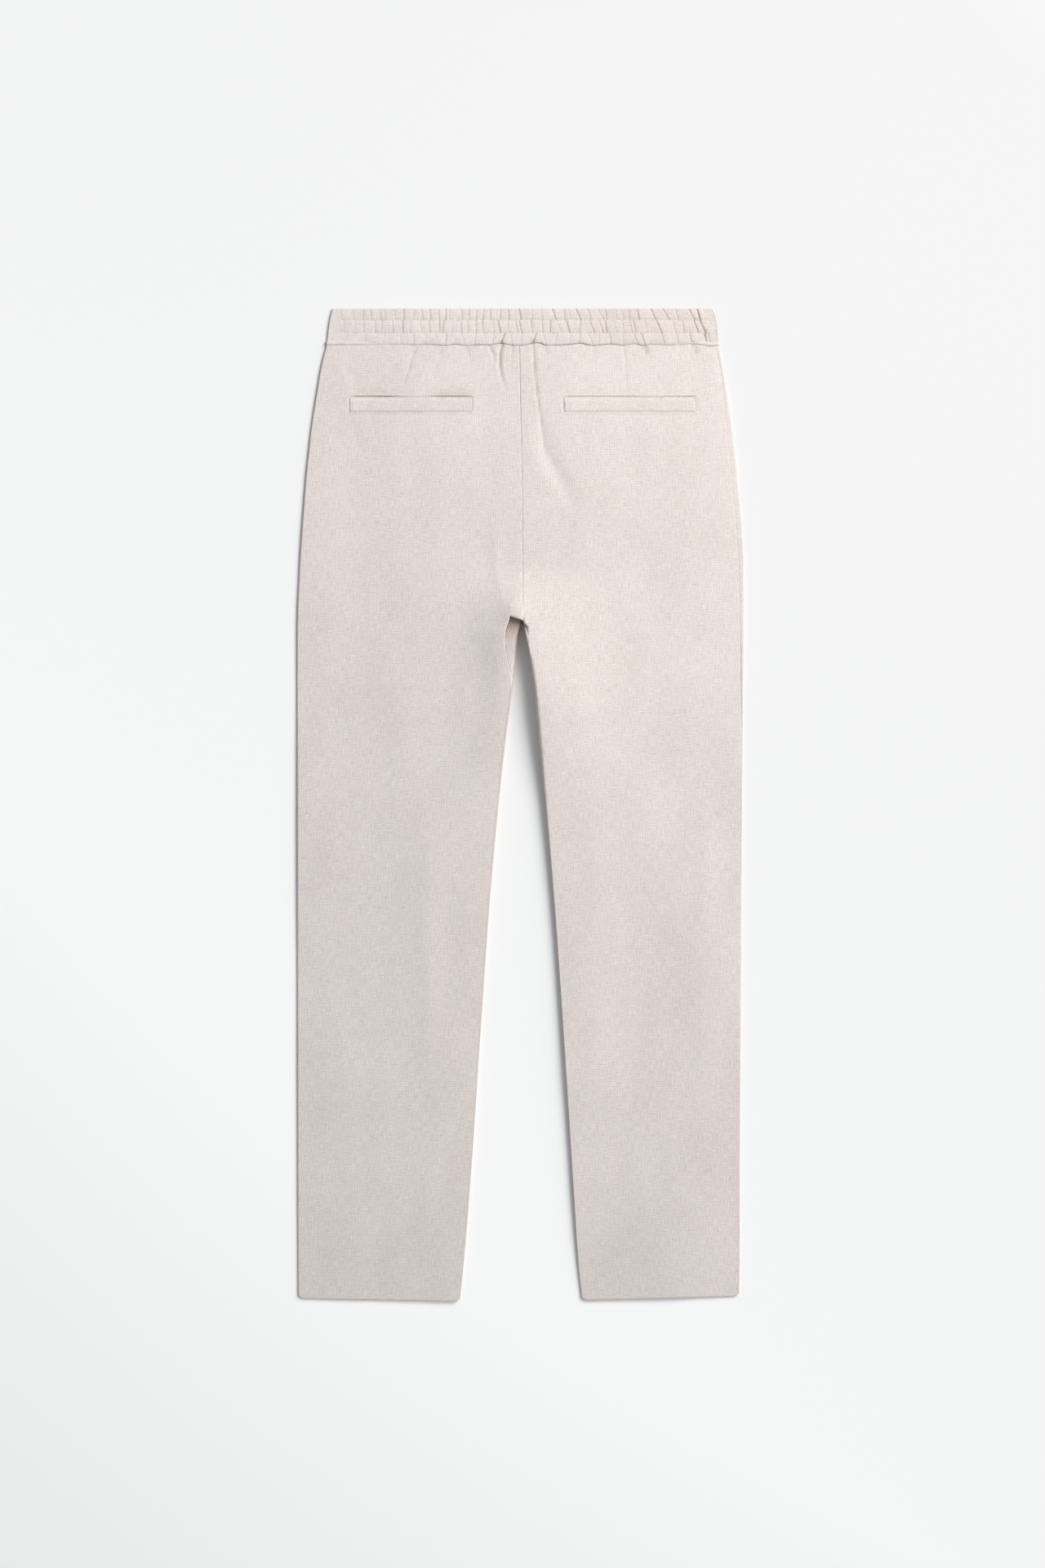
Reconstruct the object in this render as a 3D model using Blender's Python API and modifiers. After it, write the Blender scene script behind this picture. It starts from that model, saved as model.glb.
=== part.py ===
"""Linen drawstring trousers, laid flat with their back uppermost.

Metres, +Z up. The waist is towards +Y, the hems towards -Y and the wearer's left is at -X.
The origin is on the floor, under the middle of the garment.
"""

from collections import namedtuple
from math import cos, pi, radians, sin

import bmesh
import bpy

# Sizes are in millimetres up to the meshes, which MM turns into metres.
MM = 0.001

# Driving sizes
LENGTH = 1050.0  # outseam, from the top of the waistband to the lowest point of the hems
BAND_HEIGHT = 38.4  # the elasticated waistband, three channels deep
CROTCH = 331.0  # from the top of the waistband to the crotch
WALL = 1.6  # cloth of a panel
BAND_WALL = 2.6  # two layers of cloth with the elastic between them
WELT_WALL = 1.2
GAP = 0.3  # between pieces at a seam
CROTCH_TURN = 16.0  # below the crotch, over which the panels turn in to meet at the inseam
EDGE_RADIUS = 2.3  # roll of the cloth along the sides and inseams
BAND_RADIUS = 3.1  # the same at the ends of the waistband
ROLL_ANGLES = (15, 45, 75)  # corners of the roll's polygon, whose sides touch the round
RAMP = 34.0  # breadth over which a leg rises from its rolled edge to its full height
LONGEST_STEP = 62.0  # between two sections along the legs

# Each row is a section across both legs: how far down it is, where the side seams and inseams
# stand (the centre seam above the crotch), and how high the upper layer lies.
Section = namedtuple("Section", "down side_left in_left in_right side_right height")
SECTIONS = [
    Section(38.7, -205.2, -1.0, -1.0, 209.8, 6.0),
    Section(60.0, -211.0, -0.6, -0.6, 214.3, 6.2),
    Section(90.0, -215.8, -0.2, -0.2, 219.2, 6.4),
    Section(125.0, -221.4, 0.6, 0.6, 224.4, 6.6),
    Section(175.0, -226.8, 1.8, 1.8, 229.8, 6.7),
    Section(230.0, -231.0, 2.1, 2.1, 234.6, 6.8),
    Section(262.0, -233.3, 2.3, 2.3, 236.3, 6.8),
    Section(315.0, -235.8, 2.4, 2.4, 236.4, 6.8),
    Section(330.0, -236.1, 2.4, 2.4, 236.4, 6.8),
    Section(334.0, -236.2, 0.9, 2.6, 236.4, 6.8),
    Section(338.0, -236.2, -0.9, 3.2, 236.4, 6.8),
    Section(342.0, -236.3, -2.4, 4.1, 236.4, 6.8),
    Section(347.0, -236.3, -3.2, 5.3, 236.4, 6.8),
    Section(365.0, -236.4, -4.6, 8.6, 236.3, 6.8),
    Section(400.0, -236.4, -8.2, 13.8, 235.9, 6.7),
    Section(450.0, -236.3, -14.7, 18.9, 235.4, 6.6),
    Section(520.0, -236.2, -22.4, 25.8, 234.7, 6.5),
    Section(623.0, -236.1, -31.9, 34.9, 233.9, 6.4),
    Section(750.0, -235.9, -40.9, 44.0, 233.3, 6.3),
    Section(900.0, -235.7, -51.0, 53.8, 232.4, 6.0),
    Section(1030.0, -235.4, -61.4, 62.4, 231.9, 5.7),
    Section(1050.0, -235.3, -63.4, 64.5, 231.7, 5.6),
]

# The hems climb a little from their lowest point: at the side, at the inseam, at both corners.
HEM_START = 1000.0
HEM_CORNER_LIFT = 3.0
HEM_CORNER_REACH = 6.0
Hem = namedtuple("Hem", "at_side at_inseam")
HEMS = {"left": Hem(3.0, 0.0), "right": Hem(5.5, 1.0)}

# How far in from the edge the right side seam lies, on the upper face. The left one is on the edge.
SideSeam = namedtuple("SideSeam", "down inset")
RIGHT_SIDE_SEAM = [
    SideSeam(38.7, 2.8),
    SideSeam(85.0, 3.6),
    SideSeam(99.0, 4.8),
    SideSeam(135.0, 7.2),
    SideSeam(200.0, 7.0),
    SideSeam(300.0, 4.5),
    SideSeam(400.0, 3.0),
    SideSeam(1050.0, 3.0),
]

# The deepest fold of each back panel, below the waistband beside the centre seam.
FOLD_HALF_WIDTH = 5.0
FoldPoint = namedtuple("FoldPoint", "down from_centre depth")
FOLDS = {
    "left": [
        FoldPoint(38.7, 19.5, 1.0),
        FoldPoint(50.0, 20.9, 1.0),
        FoldPoint(65.0, 20.0, 0.8),
        FoldPoint(90.0, 14.5, 0.0),
        FoldPoint(300.0, 20.0, 0.0),
        FoldPoint(1050.0, 24.0, 0.0),
    ],
    "right": [
        FoldPoint(38.7, 14.0, 1.0),
        FoldPoint(78.0, 16.6, 1.0),
        FoldPoint(127.0, 22.3, 0.9),
        FoldPoint(150.0, 24.2, 0.8),
        FoldPoint(191.0, 44.0, 0.5),
        FoldPoint(219.0, 57.0, 0.0),
        FoldPoint(1050.0, 57.0, 0.0),
    ],
}
MIDDLE_STEPS = {"left": 7, "right": 6}

# Waistband rows from its top edge down: its two ends, and how far each channel swells.
BandRow = namedtuple("BandRow", "down left right swell")
BAND_ROWS = [
    BandRow(0.0, -198.8, 202.8, 0.0),
    BandRow(6.0, -200.6, 206.1, 0.8),
    BandRow(12.1, -202.0, 207.3, 0.0),
    BandRow(19.0, -203.0, 208.2, 0.8),
    BandRow(25.9, -203.8, 208.8, 0.0),
    BandRow(32.1, -204.4, 209.2, 0.7),
    BandRow(BAND_HEIGHT, -204.9, 209.6, 0.0),
]
GATHER_PITCH = 8.6
GATHER_DEPTH = 0.45
GATHER_SHIFT = 0.37  # of a pitch, from one channel to the next
GATHER_FADE = (-180.0, -100.0)  # the gathers are shallow left of the first, full from the second
GATHER_LEAST = 0.35
BAND_STEP = GATHER_PITCH / 2

# Single-welt pockets: their ends, their mouth and their lower edge.
Welt = namedtuple("Welt", "left right top bottom")
WELTS = {"left": Welt(-180.7, -51.3, 93.6, 109.1), "right": Welt(46.1, 184.1, 93.7, 109.1)}
WELT_STEPS = 10

# Slots in the front of the waistband that let a drawstring out.
SLOT_SPACING = 36.0
SLOT_LENGTH = 14.0
SLOT_WIDTH = 2.4
SLOT_DEPTH = 1.4

LINEN = (0.73, 0.66, 0.59, 1.0)
LINEN_BAND = (0.71, 0.64, 0.57, 1.0)


def clear_scene():
    for thing in list(bpy.data.objects):
        bpy.data.objects.remove(thing, do_unlink=True)


def collection(name, is_helper=False):
    """A collection in the scene; a helper's objects are left out of the model."""
    made = bpy.data.collections.new(name)
    made.hide_render = is_helper
    bpy.context.scene.collection.children.link(made)
    return made


def linen(name, colour):
    material = bpy.data.materials.new(name)
    material.use_nodes = True
    shader = material.node_tree.nodes["Principled BSDF"]
    shader.inputs["Base Color"].default_value = colour
    shader.inputs["Roughness"].default_value = 0.9
    shader.inputs["Metallic"].default_value = 0.0
    return material


def smooth(value, start, end):
    """0 up to start, 1 from end on, and an easy curve between them."""
    share = min(max((value - start) / (end - start), 0.0), 1.0)
    return share * share * (3.0 - 2.0 * share)


def mix(first, second, share):
    return first + (second - first) * share


def between(table, column, down):
    """A column's value at a distance down the garment, on a curve that never overshoots its rows."""
    downs = [row.down for row in table]
    values = [getattr(row, column) for row in table]
    if down <= downs[0]:
        return values[0]
    if down >= downs[-1]:
        return values[-1]
    slopes = [(values[i + 1] - values[i]) / (downs[i + 1] - downs[i]) for i in range(len(downs) - 1)]
    tangents = [slopes[0]]
    for before, after in zip(slopes, slopes[1:]):
        same_way = before * after > 0
        tangents.append(2 * before * after / (before + after) if same_way else 0.0)
    tangents.append(slopes[-1])
    i = max(k for k in range(len(downs) - 1) if downs[k] <= down)
    step = downs[i + 1] - downs[i]
    t = (down - downs[i]) / step
    start = (1 + 2 * t) * (1 - t) ** 2 * values[i] + t * (1 - t) ** 2 * step * tangents[i]
    end = t * t * (3 - 2 * t) * values[i + 1] - t * t * (1 - t) * step * tangents[i + 1]
    return start + end


def roll(radius):
    """Places up the outside of a rolled edge from its middle, as (in from the edge, height)."""
    reach = radius / cos(radians(ROLL_ANGLES[0]))
    places = [(0.0, radius + GAP / 2)]
    for angle in ROLL_ANGLES:
        places.append((radius - reach * cos(radians(angle)), radius + reach * sin(radians(angle))))
    return places


def under(places, radius):
    """The same places on the underside of the roll."""
    return [(inset, 2 * radius - height) for inset, height in places]


def flat_insets():
    """Places in from a flat edge, as many as a rolled edge has."""
    count = len(ROLL_ANGLES) + 1
    return [GAP / 2 + EDGE_RADIUS * k / count for k in range(count)]


def turned(flat, rolled, down):
    """An inner edge's places, which turn from flat to rolled just below the crotch."""
    share = smooth(down, CROTCH, CROTCH + CROTCH_TURN)
    return [(mix(a, c, share), mix(b, d, share)) for (a, b), (c, d) in zip(flat, rolled)]


def section_downs():
    """The sections' places, with more between those that are far apart."""
    downs = []
    for first, second in zip(SECTIONS, SECTIONS[1:]):
        steps = int((second.down - first.down) / LONGEST_STEP) + 1
        downs += [mix(first.down, second.down, k / steps) for k in range(steps)]
    return downs + [SECTIONS[-1].down]


def leg_edges(leg, down):
    """The side edge, the inner edge and the direction from the first to the second, +1 or -1."""
    toward = 1 if leg == "left" else -1
    return between(SECTIONS, "side_" + leg, down), between(SECTIONS, "in_" + leg, down), toward


def fold_depth(leg, from_inner, down):
    """How far the deepest fold lowers a back panel, at a distance from the panel's inner edge."""
    from_fold = abs(from_inner - between(FOLDS[leg], "from_centre", down))
    return between(FOLDS[leg], "depth", down) * (1 - smooth(from_fold, 0.0, FOLD_HALF_WIDTH))


def upper_height(leg, from_side, from_inner, down):
    """Height of a back panel's outer face, inside its rolled edges."""
    height = between(SECTIONS, "height", down)
    in_leg = smooth(down, CROTCH, CROTCH + 2 * RAMP)
    side_share = smooth(from_side, EDGE_RADIUS, EDGE_RADIUS + RAMP)
    inner_share = mix(1.0, smooth(from_inner, EDGE_RADIUS, EDGE_RADIUS + RAMP), in_leg)
    raised = mix(2 * EDGE_RADIUS, height, side_share * inner_share)
    return raised - fold_depth(leg, from_inner, down)


def hem_lift(leg, from_side, width, down):
    """How far the cloth near a hem stands above the hem's lowest line."""
    hem = HEMS[leg]
    slope = mix(hem.at_side, hem.at_inseam, from_side / width)
    to_corner = min(from_side, width - from_side) / HEM_CORNER_REACH
    corner = HEM_CORNER_LIFT * max(0.0, 1 - to_corner) ** 2
    return (slope + corner) * smooth(down, HEM_START, LENGTH)


def row_points(leg, down, places):
    """Turns places across a leg, as (from the side edge, height), into points from left to right."""
    side, inner, toward = leg_edges(leg, down)
    width = abs(inner - side)
    points = []
    for from_side, height in places:
        y = LENGTH / 2 - down + hem_lift(leg, from_side, width, down)
        points.append((side + toward * from_side, y, height))
    return points if leg == "left" else points[::-1]


def back_row(leg, down):
    """Points across a back panel, from its side seam to its inseam or centre seam."""
    side, inner, _ = leg_edges(leg, down)
    width = abs(inner - side)
    edge = roll(EDGE_RADIUS)
    places = edge
    if leg == "right":
        seam = between(RIGHT_SIDE_SEAM, "inset", down) + GAP / 2
        insets = [seam + inset for inset in flat_insets()]
        places = [(a, upper_height(leg, a, width - a, down)) for a in insets]
    first = places[-1][0]
    last = width - between(FOLDS[leg], "from_centre", down) - FOLD_HALF_WIDTH
    across = [mix(first, last, k / MIDDLE_STEPS[leg]) for k in range(1, MIDDLE_STEPS[leg])]
    across += [last, last + FOLD_HALF_WIDTH, last + 2 * FOLD_HALF_WIDTH]
    places = places + [(a, upper_height(leg, a, width - a, down)) for a in across]
    flat = [(a, upper_height(leg, width - a, a, down)) for a in flat_insets()]
    places += [(width - a, height) for a, height in turned(flat, edge, down)[::-1]]
    return row_points(leg, down, places)


def front_row(leg, down):
    """Points across a front panel, flat on the floor and turned up at its rolled edges."""
    side, inner, _ = leg_edges(leg, down)
    width = abs(inner - side)
    edge = roll(EDGE_RADIUS)
    places = under(edge, EDGE_RADIUS)
    if leg == "right":
        seam = between(RIGHT_SIDE_SEAM, "inset", down) - GAP / 2
        top = [(seam, upper_height(leg, seam, width - seam, down))]
        places = top + edge[:0:-1] + places[1:]
    places.append((width / 2, 0.0))
    flat = [(a, 0.0) for a in flat_insets()]
    edge = turned(flat, under(edge, EDGE_RADIUS), down)
    places += [(width - a, height) for a, height in edge[::-1]]
    return row_points(leg, down, places)


def sheet(name, rows, wall, material, parts):
    """A wall of cloth under a surface through rows of points. The rows run left to right.

    Rows that go from the hem up make a surface that faces up, and the other way one that faces
    down. The wall grows inwards from it.
    """
    form = bmesh.new()
    bmesh.ops.create_grid(form, x_segments=len(rows[0]) - 1, y_segments=len(rows) - 1, size=1)
    places = [point for row in rows for point in row]
    for vertex, (x, y, z) in zip(form.verts, places):
        vertex.co = (x * MM, y * MM, z * MM)
    mesh = bpy.data.meshes.new(name)
    form.to_mesh(mesh)
    form.free()
    mesh.shade_smooth()
    mesh.set_sharp_from_angle(angle=pi / 4)
    mesh.materials.append(material)
    piece = bpy.data.objects.new(name, mesh)
    parts.objects.link(piece)
    cloth = piece.modifiers.new("cloth", "SOLIDIFY")
    cloth.thickness = wall * MM
    cloth.offset = -1
    cloth.use_even_offset = True
    return piece


def panels(material, parts):
    """The two back panels and the two front panels."""
    downs = section_downs()
    for leg in ("left", "right"):
        back = [back_row(leg, down) for down in reversed(downs)]
        sheet("back_panel_" + leg, back, WALL, material, parts)
        front = [front_row(leg, down) for down in downs]
        sheet("front_panel_" + leg, front, WALL, material, parts)


def gather(x, channel):
    """The height of the waistband's gathers, which stand a little to one side in each channel."""
    strength = mix(GATHER_LEAST, 1.0, smooth(x, *GATHER_FADE))
    return strength * GATHER_DEPTH * cos(2 * pi * (x / GATHER_PITCH + GATHER_SHIFT * channel))


def back_band_row(row, channel):
    """Points along the upper waistband, from one rolled end to the other."""
    ends = roll(BAND_RADIUS)
    y = LENGTH / 2 - row.down
    points = [(row.left + inset, y, height) for inset, height in ends]
    start, end = row.left + ends[-1][0], row.right - ends[-1][0]
    steps = round((BAND_ROWS[-1].right - BAND_ROWS[-1].left) / BAND_STEP)
    for k in range(1, steps):
        x = mix(start, end, k / steps)
        height = 2 * BAND_RADIUS + (row.swell + gather(x, channel)) * (row.swell > 0)
        points.append((x, y, height))
    points += [(row.right - inset, y, height) for inset, height in ends[::-1]]
    return points


def front_band_row(row):
    """Points along the lower waistband, flat on the floor between its rolled ends."""
    ends = under(roll(BAND_RADIUS), BAND_RADIUS)
    y = LENGTH / 2 - row.down
    points = [(row.left + inset, y, height) for inset, height in ends]
    points += [(row.right - inset, y, height) for inset, height in ends[::-1]]
    return points


def drawstring_slots(band, cutters):
    """Two upright slots in the face of the front waistband."""
    for side in (-1, 1):
        form = bmesh.new()
        bmesh.ops.create_cube(form, size=1)
        bmesh.ops.scale(form, vec=(SLOT_WIDTH * MM, SLOT_LENGTH * MM, 2 * SLOT_DEPTH * MM), verts=form.verts)
        middle = ((side * SLOT_SPACING / 2) * MM, (LENGTH / 2 - BAND_HEIGHT / 2) * MM, 0)
        bmesh.ops.translate(form, vec=middle, verts=form.verts)
        mesh = bpy.data.meshes.new("slot_cutter")
        form.to_mesh(mesh)
        form.free()
        cutter = bpy.data.objects.new("slot_cutter", mesh)
        cutter.hide_render = True
        cutter.display_type = "WIRE"
        cutters.objects.link(cutter)
        cut = band.modifiers.new("slot", "BOOLEAN")
        cut.object = cutter
        cut.operation = "DIFFERENCE"


def waistband(material, parts, cutters):
    channels = [k // 2 for k in range(len(BAND_ROWS))]
    back = [back_band_row(row, channel) for row, channel in zip(BAND_ROWS, channels)]
    sheet("waistband_back", back[::-1], BAND_WALL, material, parts)
    front = [front_band_row(row) for row in BAND_ROWS]
    band = sheet("waistband_front", front, BAND_WALL, material, parts)
    drawstring_slots(band, cutters)


def welts(material, parts):
    """The welts lie on the back panels, from the same surface moved out."""
    for leg, welt in WELTS.items():
        rows = []
        for down in (welt.bottom, mix(welt.bottom, welt.top, 0.5), welt.top):
            side, inner, _ = leg_edges(leg, down)
            row = []
            for k in range(WELT_STEPS + 1):
                x = mix(welt.left, welt.right, k / WELT_STEPS)
                height = upper_height(leg, abs(x - side), abs(inner - x), down)
                row.append((x, LENGTH / 2 - down, height + GAP + WELT_WALL))
            rows.append(row)
        sheet("back_welt_" + leg, rows, WELT_WALL, material, parts)


def main():
    clear_scene()
    parts = collection("linen_trousers")
    cutters = collection("cutters", is_helper=True)
    cloth = linen("linen", LINEN)
    band_cloth = linen("linen_waistband", LINEN_BAND)
    panels(cloth, parts)
    waistband(band_cloth, parts, cutters)
    welts(cloth, parts)


main()
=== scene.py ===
"""Linen drawstring trousers laid flat with their back uppermost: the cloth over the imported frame.

Sizes are in millimetres up to the meshes. The waist is towards +Y, the hems towards -Y, and the
wearer's left is at -X. `down` is a distance from the top of the waistband towards the hems.
"""

from math import pi, radians

import bmesh
import bpy
import numpy as np
from mathutils import Matrix, Vector
from mathutils.bvhtree import BVHTree


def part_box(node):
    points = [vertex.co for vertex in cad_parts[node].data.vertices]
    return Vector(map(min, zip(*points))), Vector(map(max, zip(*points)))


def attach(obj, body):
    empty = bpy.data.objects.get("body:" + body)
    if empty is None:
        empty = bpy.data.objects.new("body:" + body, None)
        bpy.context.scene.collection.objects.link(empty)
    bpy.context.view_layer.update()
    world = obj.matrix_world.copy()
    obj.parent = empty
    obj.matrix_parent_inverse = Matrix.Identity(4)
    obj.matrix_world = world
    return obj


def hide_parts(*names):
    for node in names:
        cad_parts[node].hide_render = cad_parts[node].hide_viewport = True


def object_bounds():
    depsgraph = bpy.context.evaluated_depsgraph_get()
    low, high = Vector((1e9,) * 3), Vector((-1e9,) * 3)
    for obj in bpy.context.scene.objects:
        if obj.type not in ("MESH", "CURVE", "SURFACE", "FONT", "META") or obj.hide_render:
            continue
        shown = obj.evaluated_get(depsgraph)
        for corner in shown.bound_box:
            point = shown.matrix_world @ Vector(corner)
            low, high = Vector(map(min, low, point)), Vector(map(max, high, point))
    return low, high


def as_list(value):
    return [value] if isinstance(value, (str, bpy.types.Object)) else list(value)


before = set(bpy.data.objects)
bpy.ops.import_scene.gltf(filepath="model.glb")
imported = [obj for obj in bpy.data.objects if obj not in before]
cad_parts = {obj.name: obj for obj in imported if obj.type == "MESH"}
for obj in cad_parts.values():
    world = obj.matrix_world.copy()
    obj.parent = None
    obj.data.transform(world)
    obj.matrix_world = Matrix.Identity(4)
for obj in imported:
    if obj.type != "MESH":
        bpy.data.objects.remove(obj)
CAD_BOX = [list(corner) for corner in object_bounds()]

MM = 0.001
TOP = CAD_BOX[1][1] / MM  # y of the waistband's top edge

# Cloth
WALL = 0.6
GAP = 0.3  # between two pieces at a seam
CURL = 0.9  # how near a seam the cloth starts to turn down into it
TUCK = 4.0  # how far the lower piece of a seam runs on beneath the upper one
RAMP = {"left": 60.0, "right": 30.0}  # over which a leg rises from its rolled side to its crown
RIDGE = {"left": 20.0, "right": 0.0}  # how far from its inner edge each half is highest
SHOULDER = 1.2  # how near the inseam the back's edge rounds down to the front's strip
LIP = 1.6  # how near the crotch the seat's folded edge rounds down
BAND_HEIGHT = 38.4
LENGTH = 1050.0

# Height of the upper layer: at its side, how much more towards the inside leg, and right beside it.
EDGE = {"left": [(38, 1.8), (170, 2.0), (900, 1.8), (1050, 1.4)],
        "right": [(38, 1.8), (90, 2.4), (900, 2.5), (1050, 1.9)]}
CROWN = {"left": [(38, 2.0), (150, 1.5), (600, 1.5), (930, 2.1), (1050, 1.3)],
         "right": [(38, 1.8), (150, 2.2), (600, 2.3), (930, 2.8), (1050, 1.7)]}
RISE = [(38, 1.4), (100, 1.0), (170, 1.2), (250, 1.8), (331, 4.0), (400, 4.4), (520, 3.4), (700, 2.6),
        (930, 1.7), (1050, 0.7)]
BROW = {"left": [(276, 0.0), (331, 7.4), (345, 6.8), (400, 3.6), (450, 2.4), (520, 1.2), (700, 0.2),
                 (1050, 0.0)],
        "right": [(276, 0.0), (331, 7.4), (365, 9.4), (410, 9.8), (450, 7.6), (520, 3.0), (700, 0.5),
                  (1050, 0.0)]}
BROW_REACH = {"left": 36.0, "right": 64.0}
SIDE_ROLL = {"left": [(38, 0.8), (100, 0.64), (1050, 0.62)],
             "right": [(38, 1.0), (90, 1.4), (1000, 1.35), (1050, 1.2)]}
INSEAM_ROLL = {"left": [(38, 1.5), (450, 1.2), (1050, 0.8)],
               "right": [(38, 1.5), (338, 1.6), (390, 2.6), (500, 1.8), (700, 0.9), (1050, 0.7)]}
# How far the front's strip lies below the back beside it, under the crotch.
STRIP_DIP = {"left": [(318, 5.5), (331, 4.6), (338, 3.4), (346, 1.3), (356, 0.0)],
             "right": [(318, 4.0), (331, 3.0), (338, 1.4), (346, 0.0)]}
# Painted shadow on that strip under the seat's folded edge.
STRIP_SHADE = {"left": [(318, 0.95), (331, 0.9), (338, 0.8), (345, 0.52), (354, 0.22), (368, 0.0)],
               "right": [(318, 0.9), (333, 0.6), (339, 0.35), (348, 0.0)]}
NOTCH_BULGE = (-3.0, 321.0, 14.0, 1.0)  # x, down, reach and height of the swell over the crotch

# How far each seam stands on the upper face, from the garment's edge.
SIDE_SEAM = {
    "left": [(38, 0.0), (1050, 0.0)],
    "right": [(38, 2.8), (85, 3.6), (99, 4.8), (135, 7.2), (200, 7.0), (300, 4.5), (400, 2.2),
              (520, 0.6), (1050, 0.0)],
}
INSEAM = {
    "left": [(38, 13.0), (326, 13.2), (338, 13.8), (350, 13.2), (365, 10.5), (385, 4.0),
             (402, 0.0), (1050, 0.0)],
    "right": [(38, 0.15), (331.4, 0.2), (333, 1.2), (335, 3.0), (337.8, 4.6), (341, 4.6),
              (347, 3.6), (356, 1.2), (365, 0.3), (380, 0.0), (1050, 0.0)],
}

# The seat ends in a folded edge over the crotch, which drops and leans towards the centre seam.
NOTCH = 326.0
NOTCH_DROP, NOTCH_LEAN = 5.1, 1.1
LIP_DROP = 5.0  # how far that edge rounds down
# Where each layer starts to roll round the inner edge, and where the right half comes out of its tuck.
LEG_STARTS = {"back": (322.0, 338.0), "front": (315.0, 326.0)}
TUCK_ENDS = (323.0, 331.0)
HALF_WIDTH = 236.0  # of one half at the hips

# Hems: how far the fold rises at the side and at the inseam, its corners, and the turning inside.
HEM_RISE = {"left": (3.0, 0.0), "right": (5.5, 1.0)}
HEM_START = 1000.0
HEM_CORNER = (3.4, 7.0)
HEM_FOLD = 0.65
HEM_TURNING = 24.0

# Folds and puckers of the back: places along each as (down, x, depth), and its half-width.
BACK_FOLDS = [
    ([(37, -18.6, 0.5), (41, -19.4, 1.5), (50, -21.4, 1.8), (60, -21.6, 1.6), (70, -20.0, 1.1),
      (88, -14.4, 0.0)], 1.8),
    ([(38, -32.6, 0.6), (41, -31.9, 1.1), (50, -28.3, 0.8), (60, -26.0, 0.0)], 1.8),
    ([(37, 13.4, 0.6), (42, 13.6, 0.9), (54, 14.6, 1.0), (78, 16.4, 1.1), (101, 19.6, 1.0),
      (127, 23.0, 0.9), (150, 25.8, 0.5), (165, 29.5, 0.2), (185, 36, 0.0)], 1.7),
    ([(96, 20.0, 0.0), (128, 24.0, 0.7), (150, 27.5, 1.0), (170, 36.5, 0.9), (191, 47.0, 0.6),
      (219, 60.0, 0.0)], 8.0),
    ([(37, 131.2, 0.2), (41, 131.7, 1.2), (48, 135.0, 0.8), (56, 140.6, 0.0)], 1.8),
    ([(37, 182.6, 0.2), (41, 183.4, 1.0), (47, 186.5, 0.7), (54, 190.0, 0.0)], 1.8),
    ([(38, -8.6, 0.1), (42, -8.4, 0.5), (56, -8.8, 0.25), (70, -9.2, 0.0)], 1.6),
    ([(38, 26.6, 0.1), (42, 27.0, 0.5), (50, 28.5, 0.2), (58, 30, 0.0)], 2.2),
    ([(38, -57.0, 0.1), (42, -56.0, 0.5), (52, -53.0, 0.2), (60, -51, 0.0)], 2.6),
    ([(38, -81.0, 0.1), (42, -82.0, 0.4), (54, -84.5, 0.15), (62, -86, 0.0)], 2.6),
    ([(38, 78.0, 0.1), (42, 77.6, 0.4), (56, 78.5, 0.2), (66, 79, 0.0)], 2.6),
    ([(38, 109.0, 0.1), (42, 110.0, 0.3), (50, 110.0, 0.0)], 2.2),
    ([(38, -112.5, 0.2), (42, -113.0, 0.4), (58, -118.0, 0.2), (66, -119.5, 0.0)], 3.4),
    ([(228, -27.0, 0.0), (250, -26.0, -0.35), (280, -24.5, -0.45), (300, -21.0, -0.25),
      (318, -19.0, 0.0)], 6.0),
    ([(150, -166.0, 0.0), (240, -166.0, 0.3), (900, -166.0, 0.3), (1040, -166.0, 0.0)], 30.0),
    ([(60, -176.0, 0.0), (76, -175.0, 0.25), (92, -172.0, 0.0)], 5.0),
    ([(112, -178.0, 0.0), (130, -176.0, 0.3), (160, -170.0, 0.0)], 6.0),
    ([(340, -30.0, 0.0), (370, -40.0, 0.25), (430, -52.0, 0.25), (500, -60.0, 0.0)], 14.0),
    ([(345, 26.0, 0.0), (380, 36.0, 0.25), (440, 50.0, 0.2), (520, 64.0, 0.0)], 14.0),
    ([(500, -96.0, 0.0), (570, -98.0, -1.0), (760, -96.0, -1.0), (850, -92.0, 0.0)], 24.0),
    ([(480, 74.0, 0.0), (560, 76.0, -0.5), (760, 78.0, -0.5), (860, 80.0, 0.0)], 22.0),
    ([(480, 196.0, 0.0), (560, 196.0, -0.5), (760, 192.0, -0.5), (860, 188.0, 0.0)], 16.0),
]

# Painted shade where the gathers and folds meet the waistband's seam, as (x, down, reach, shade).
SEAM_CREASE_SHADE = [(-19.6, 37.2, 2.6, 0.42), (13.4, 36.8, 2.4, 0.42), (131.4, 39.6, 2.2, 0.4),
                (182.8, 38.0, 2.2, 0.34), (197.6, 38.2, 1.8, 0.3), (-71.5, 38.6, 1.8, 0.2),
                (-48.4, 39.4, 1.8, 0.22), (-8.0, 39.2, 2.4, 0.2), (24.0, 38.0, 1.8, 0.15),
                (189.5, 11.0, 3.2, 0.2), (195.5, 25.0, 3.0, 0.2), (186.0, 43.0, 4.0, 0.1),
                (134.0, 44.0, 3.6, 0.1)]

# Darts from the waistband towards each pocket, as (down, x, depth).
DARTS = {
    "left": [(38, -108.4, 0.2), (42, -109.4, 0.45), (49, -113.5, 0.5), (61, -117.4, 0.5),
             (75, -121.2, 0.4), (91, -123.8, 0.1), (94, -124.0, 0.0)],
    "right": [(38, 108.5, 0.2), (42, 109.2, 0.35), (51, 111.2, 0.4), (78, 112.3, 0.35),
              (90, 112.3, 0.1), (94, 112.3, 0.0)],
}
DART_WIDTH, DART_LINE, DART_SHARE = 1.3, 0.7, 0.3
PRESSED_SHARE = 0.45  # of a narrow fold's depth that its relief takes, and the rest is painted shade
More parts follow.
